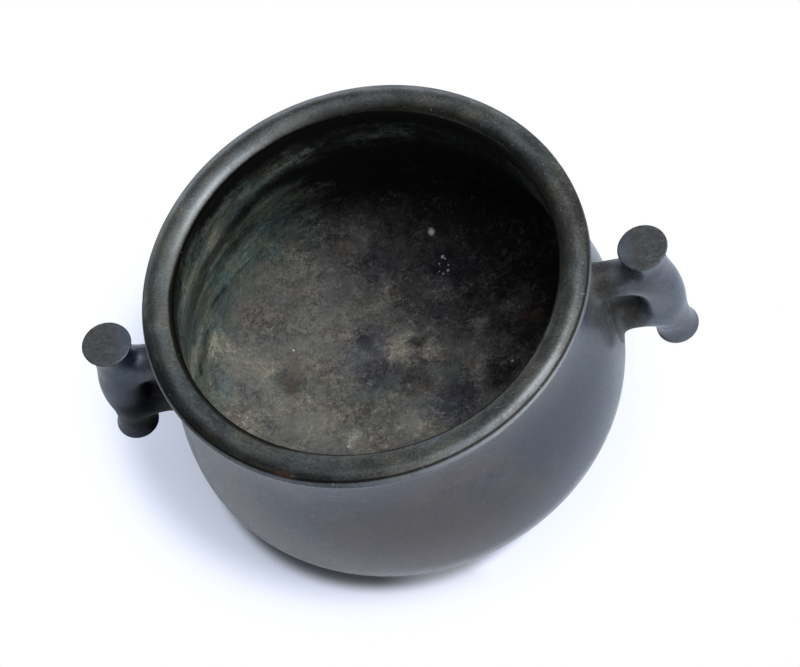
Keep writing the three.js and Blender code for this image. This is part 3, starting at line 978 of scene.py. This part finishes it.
def inside_material():
    """The dull inside: ash and rust on the floor, patches and soot on the wall."""
    material, n, shader = new_material("bowl_inside", Metallic=0, IOR=1.3)
    at = millimetres(n)
    place = n.coordinates(at)
    level = place[2]
    around = compass(n, place)
    along = n.attribute("along")
    uneven, mottle, grains = inside_crust(n, at)
    hue = n.span(n.noise(at, 0.11, 4, 0.6), 0.4, 0.6)
    shift = n.centred(n.noise(at, 0.12, 4, 0.6), 16)
    flat = n.point(X=place[0], Y=place[1])
    spoke = n.vector("NORMALIZE", flat)
    pushed = n.point(X=n.plus(n.times(around, WALL_STRETCH), n.times(shift, 0.5)),
                     Y=n.plus(level, n.times(shift, 0.2)))
    bent = n.warped(pushed, 0.5, 3.4)
    floor_tone, floor_colour = floor_look(n, place, flat, uneven, mottle, hue)
    wall_tone, wall_colour = wall_look(n, at, around, along, level, spoke, bent, shift, uneven, hue)
    on_floor = n.span(n.plus(level, shift), 27, 15)
    colour = n.blend(on_floor, wall_colour, floor_colour)
    colour = n.tinted(colour, (0.84, 1, 1.08), n.patches(bent, along_wall(WALL_BLUES)))
    ashy = n.span(n.plus(n.mix(on_floor, wall_tone, floor_tone), uneven), 0.1, 0.75)
    colour = inside_grit(n, at, colour, ashy)
    # The lip's inside carries painted shade, bare towards the near right.
    colour = n.blend(n.span(along, -1.2, -0.2), colour, lip_colour(n, spoke, uneven))
    rough = n.span(uneven, -0.5, 0.5, 0.8, 0.6)
    height = n.plus(n.times(mottle, 0.07), n.times(grains, 0.04))
    finish(n, shader, colour, rough, height)
    return material


# Shade painted on the left handle, which lies in the bowl's shadow: middle, size and how strong.
HANDLE_PAINTED_SHADE = [
    (-77, -5, 27, 15, 0.65), (-70, -2, 33, 12, 0.45), (-77, -6, 46, 16, 0.5), (-74, 0, 67, 9, 0.2),
]
HANDLE_TINT = (1.1, 1.45, 1.75)
HANDLE_ROOT_STOPS = ((0.36, (0.018, 0.014, 0.011)), (0.6, (0.066, 0.058, 0.05)))
TOP_FACE_STOPS = (
    (0.32, (0.012, 0.011, 0.01)), (0.48, (0.028, 0.026, 0.024)),
    (0.62, (0.058, 0.052, 0.044)), (0.78, (0.14, 0.13, 0.115)),
)


def top_face(n, at):
    """The scratched face on top of a handle: its colour and its height."""
    blotches = n.noise(at, 0.8, 6, 0.74, 0.4)
    bent = n.warped(at, 0.3, 2)
    hatch = n.greater(n.scratches(bent, (0, 0, 0.6), 1.5, 0.16, 0.6, 0.72),
                      n.scratches(bent, (0, 0, 2.3), 1.7, 0.2, 0.62, 0.74))
    colour = n.blend(n.times(hatch, 0.35), n.ramp(blotches, TOP_FACE_STOPS), (0.2, 0.19, 0.17))
    return colour, n.plus(n.times(hatch, -0.02), n.times(blotches, 0.06))


def handle_material():
    """The handles' bluer patina, dull and brown where they meet the bowl."""
    material, n, shader = new_material("handle_patina", IOR=1.8)
    at = millimetres(n)
    colour, rough, height = patina(n, at, HANDLE_TINT)
    streaks = n.noise(n.vector("MULTIPLY", at, (1, 1, 0.35)), 1.1, 5, 0.72)
    colour = n.blend(n.span(streaks, 0.52, 0.72, 0, 0.6), colour, (0.11, 0.115, 0.125))
    rough = n.plus(rough, n.centred(streaks, 0.25))
    off_wall = n.attribute("off_wall")
    wander = n.centred(n.noise(at, 0.25, 4, 0.6), 7)
    root = n.times(n.span(n.plus(off_wall, wander), 10.5, 4.5), n.span(off_wall, 0.1, 2.2, 0.8, 1))
    colour = n.blend(root, colour, n.ramp(streaks, HANDLE_ROOT_STOPS))
    colour = n.blend(n.span(off_wall, 2.6, 0.2, 0, 0.75), colour, (0.1, 0.096, 0.088))
    rough = n.mix(root, rough, 0.6)
    face = n.span(n.attribute("drop"), 0.5, 0.1)
    face_colour, face_height = top_face(n, at)
    colour = n.blend(face, colour, face_colour)
    # Painted shade on the left handle, drawn as dark metal that reflects little.
    painted_shade = n.patches(n.warped(at, 0.2, 4), HANDLE_PAINTED_SHADE)
    colour = n.blend(painted_shade, colour, (0.006, 0.006, 0.007))
    rough = n.mix(painted_shade, n.mix(face, rough, 0.48), 0.5)
    height = n.mix(face, height, face_height)
    n.link(n.mix(painted_shade, n.mix(root, PATINA_METAL, 0.5), 1), shader, "Metallic")
    finish(n, shader, colour, rough, height)
    return material


def paint(piece, *materials):
    """Gives a piece its materials, the second for the faces marked for it."""
    slots = piece.data.materials
    while len(slots) < len(materials):
        slots.append(None)
    for place, material in enumerate(materials):
        slots[place] = material


def dress_object():
    """Makes and paints every piece, hides the CAD part of its node, and ties it to the root body."""
    bowl = make_bowl()
    paint(bowl, outside_material(), inside_material())
    made = [(bowl, "vessel_body", "bowl_bronze")] + make_handles()
    bronze = handle_material()
    for piece, node, slot in made:
        if piece is not bowl:
            paint(piece, bronze)
        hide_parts(node)
        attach(piece, "root")


# The photograph's camera, round the rim's middle, and where that middle falls in the frame.
PHOTO_WIDTH = 800
RIM_MIDDLE = Vector((0, 0, 76.9 * MM))
CAMERA_DISTANCE = 0.8
AZIMUTH = radians(16)
ELEVATION = radians(58.2)
ROLL = radians(-24)
FOCAL_PIXELS = 3020
RIM_MIDDLE_OFFSET = (-37, -55)
SENSOR_WIDTH = 36
NEAREST = 0.01


def camera_turn(back):
    """The camera's rotation: rolled about its line of sight, then swung to put the rim in its place."""
    level = Vector((cos(AZIMUTH), sin(AZIMUTH), 0))
    up = back.cross(level)
    right = cos(ROLL) * level + sin(ROLL) * up
    above = -sin(ROLL) * level + cos(ROLL) * up
    seen = Vector((RIM_MIDDLE_OFFSET[0], -RIM_MIDDLE_OFFSET[1], -FOCAL_PIXELS)).normalized()
    swing = seen.rotation_difference(Vector((0, 0, -1))).to_matrix()
    return Matrix((right, above, back)).transposed() @ swing


def make_camera():
    back = Vector((sin(AZIMUTH) * cos(ELEVATION),
                   -cos(AZIMUTH) * cos(ELEVATION), sin(ELEVATION)))
    data = bpy.data.cameras.new("camera")
    data.sensor_fit = "HORIZONTAL"
    data.sensor_width = SENSOR_WIDTH
    data.lens = FOCAL_PIXELS / PHOTO_WIDTH * SENSOR_WIDTH
    data.clip_start = NEAREST
    camera = bpy.data.objects.new("camera", data)
    bpy.context.scene.collection.objects.link(camera)
    place = Matrix.Translation(RIM_MIDDLE + back * CAMERA_DISTANCE)
    camera.matrix_world = place @ camera_turn(back).to_4x4()
    bpy.context.scene.camera = camera


# The paper, in metres from here on. Round the shadow's ellipse it fades to plain white.
FLOOR_SPAN = 3
FLOOR_SIDES = 96
SHADOW_MIDDLE = (-0.0166, 0.01)
SHADOW_TURN = radians(-23)
SHADOW_STRETCH = 1.146
SHADOW_INNER = 0.066
SHADOW_OUTER = 0.082
SHADOW_LIFT = 0.366
SHADE_WIDTH = 1.1
# Close round the foot, the paper keeps all of its shadow.
CONTACT_MIDDLE = (-0.0076, 0)
CONTACT_FADE = (0.053, 0.0575)
# Painted light ends the shadow sooner on the lit side, and a painted shadow makes it deepest at the foot on
# the other side.
LIT_FROM = -0.002
LIT_TO = 0.016
PAINTED_SHADOW_FADE = (0.0565, 0.0515)
PAINTED_SHADOW_COLOUR = (0.26, 0.25, 0.27)
# Reflections see the paper's own light and shade round here, and plain paper beyond.
MIRRORED_MIDDLE = (-0.045, 0.01)
MIRRORED_FADE = (0.066, 0.104)
WHITE = (1, 1, 1)
# In the shadow's ellipse, the paper's glow is painted a shadow's blue.
PAPER_IN_SHADE = (0.87, 0.94, 1.18)
PAPER_IN_METAL = (0.88, 0.98, 1.15)


def paper_material():
    """White paper. Seen directly or in a reflection, it fades to plain white away from the object."""
    material, n = empty_material("white_paper")
    at = n.add("TexCoord").outputs["Object"]
    ellipse = {"Vector": at, "Location": (*SHADOW_MIDDLE, 0), "Rotation": (0, 0, SHADOW_TURN),
               "Scale": (1, 1 / SHADOW_STRETCH, 1)}
    away = n.measure("LENGTH", n.add("Mapping", ellipse, vector_type="TEXTURE").outputs[0])
    foot = n.measure("DISTANCE", at, (*CONTACT_MIDDLE, 0))
    across = n.coordinates(at)[0]
    lifted = n.greater(n.span(away, SHADOW_INNER, SHADOW_OUTER, SHADOW_LIFT, 1),
                       n.span(across, LIT_FROM, LIT_TO))
    seen = n.times(lifted, n.span(foot, *CONTACT_FADE))
    # A shadow painted into the paper's colour at the foot, on the side away from the light.
    deep = n.times(n.span(foot, *PAINTED_SHADOW_FADE), n.span(across, 0, LIT_FROM - LIT_TO))
    mirrored = n.span(n.measure("DISTANCE", at, (*MIRRORED_MIDDLE, 0)), *MIRRORED_FADE)
    path = n.add("LightPath").outputs
    direct = path["Is Camera Ray"]
    seen = n.times(direct, seen)
    deep = n.times(direct, deep)
    mirrored = n.times(n.greater(path["Is Glossy Ray"], path["Is Transmission Ray"]), mirrored)
    shade = n.blend(n.span(away, SHADOW_INNER, SHADOW_OUTER * SHADE_WIDTH), PAPER_IN_SHADE, WHITE)
    glow = n.blend(direct, PAPER_IN_METAL, shade)
    paper = n.add("BsdfDiffuse", {"Color": n.blend(deep, WHITE, PAINTED_SHADOW_COLOUR)})
    white = n.add("Emission", {"Color": glow, "Strength": 1})
    plain = n.greater(seen, mirrored)
    both = n.add("MixShader", {0: plain, 1: paper.outputs[0], 2: white.outputs[0]})
    n.add("OutputMaterial", {"Surface": both.outputs[0]})
    return material


def make_floor():
    turn = np.linspace(0, 2 * pi, FLOOR_SIDES, endpoint=False)
    verts = [(0, 0, 0)] + [(FLOOR_SPAN / MM * cos(a), FLOOR_SPAN / MM * sin(a), 0) for a in turn]
    faces = [(0, 1 + i, 1 + (i + 1) % FLOOR_SIDES) for i in range(FLOOR_SIDES)]
    floor = mesh_object("floor", verts, faces)
    paint(floor, paper_material())


# The studio's soft lights: azimuth from +X towards +Y, elevation, tightness, strength, colour.
SOFT_LIGHTS = [
    (0, 55, 14, 3.2, (0.97, 1, 1.02)),
    (0, 66, 45, 3.8, (0.84, 1, 1.16)),
    (60, 76, 14, 1.34, (0.88, 0.97, 1.12)),
    (-52, 55, 14, 2.15, (0.92, 0.98, 1.08)),
    (90, 10, 3, 0.64, (0.86, 0.97, 1.14)),
    (216, 8, 14, 1.1, (0.86, 0.97, 1.14)),
]
# The pale wall's top, and the share of its height at which it starts to fade.
WALL_TOP = radians(5)
WALL_FULL_SHARE = 0.6


def make_world():
    """Soft round lights in a dark studio with a low pale wall round it."""
    world = bpy.data.worlds.new("studio")
    world.use_nodes = True
    world.node_tree.nodes.clear()
    n = Nodes(world.node_tree)
    towards = n.vector("NORMALIZE", n.add("TexCoord").outputs["Generated"])
    height = n.coordinates(towards)[2]
    wall = n.span(height, sin(WALL_TOP), sin(WALL_TOP) * WALL_FULL_SHARE)
    total = n.add("Background", {"Color": (*WHITE, 1), "Strength": wall}).outputs[0]
    for azimuth, elevation, tightness, strength, colour in SOFT_LIGHTS:
        a, e = radians(azimuth), radians(elevation)
        middle = (cos(a) * cos(e), sin(a) * cos(e), sin(e))
        facing = n.measure("DOT_PRODUCT", towards, middle)
        glow = n.math("EXPONENT", n.times(n.minus(facing, 1), tightness))
        power = n.times(n.times(glow, strength), n.math("GREATER_THAN", height, 0))
        lamp = n.add("Background", {"Color": (*colour, 1), "Strength": power})
        total = n.add("AddShader", {0: total, 1: lamp.outputs[0]}).outputs[0]
    n.add("OutputWorld", {"Surface": total})
    bpy.context.scene.world = world


dress_object()
make_camera()
make_floor()
make_world()
bpy.context.scene.view_settings.view_transform = "Standard"
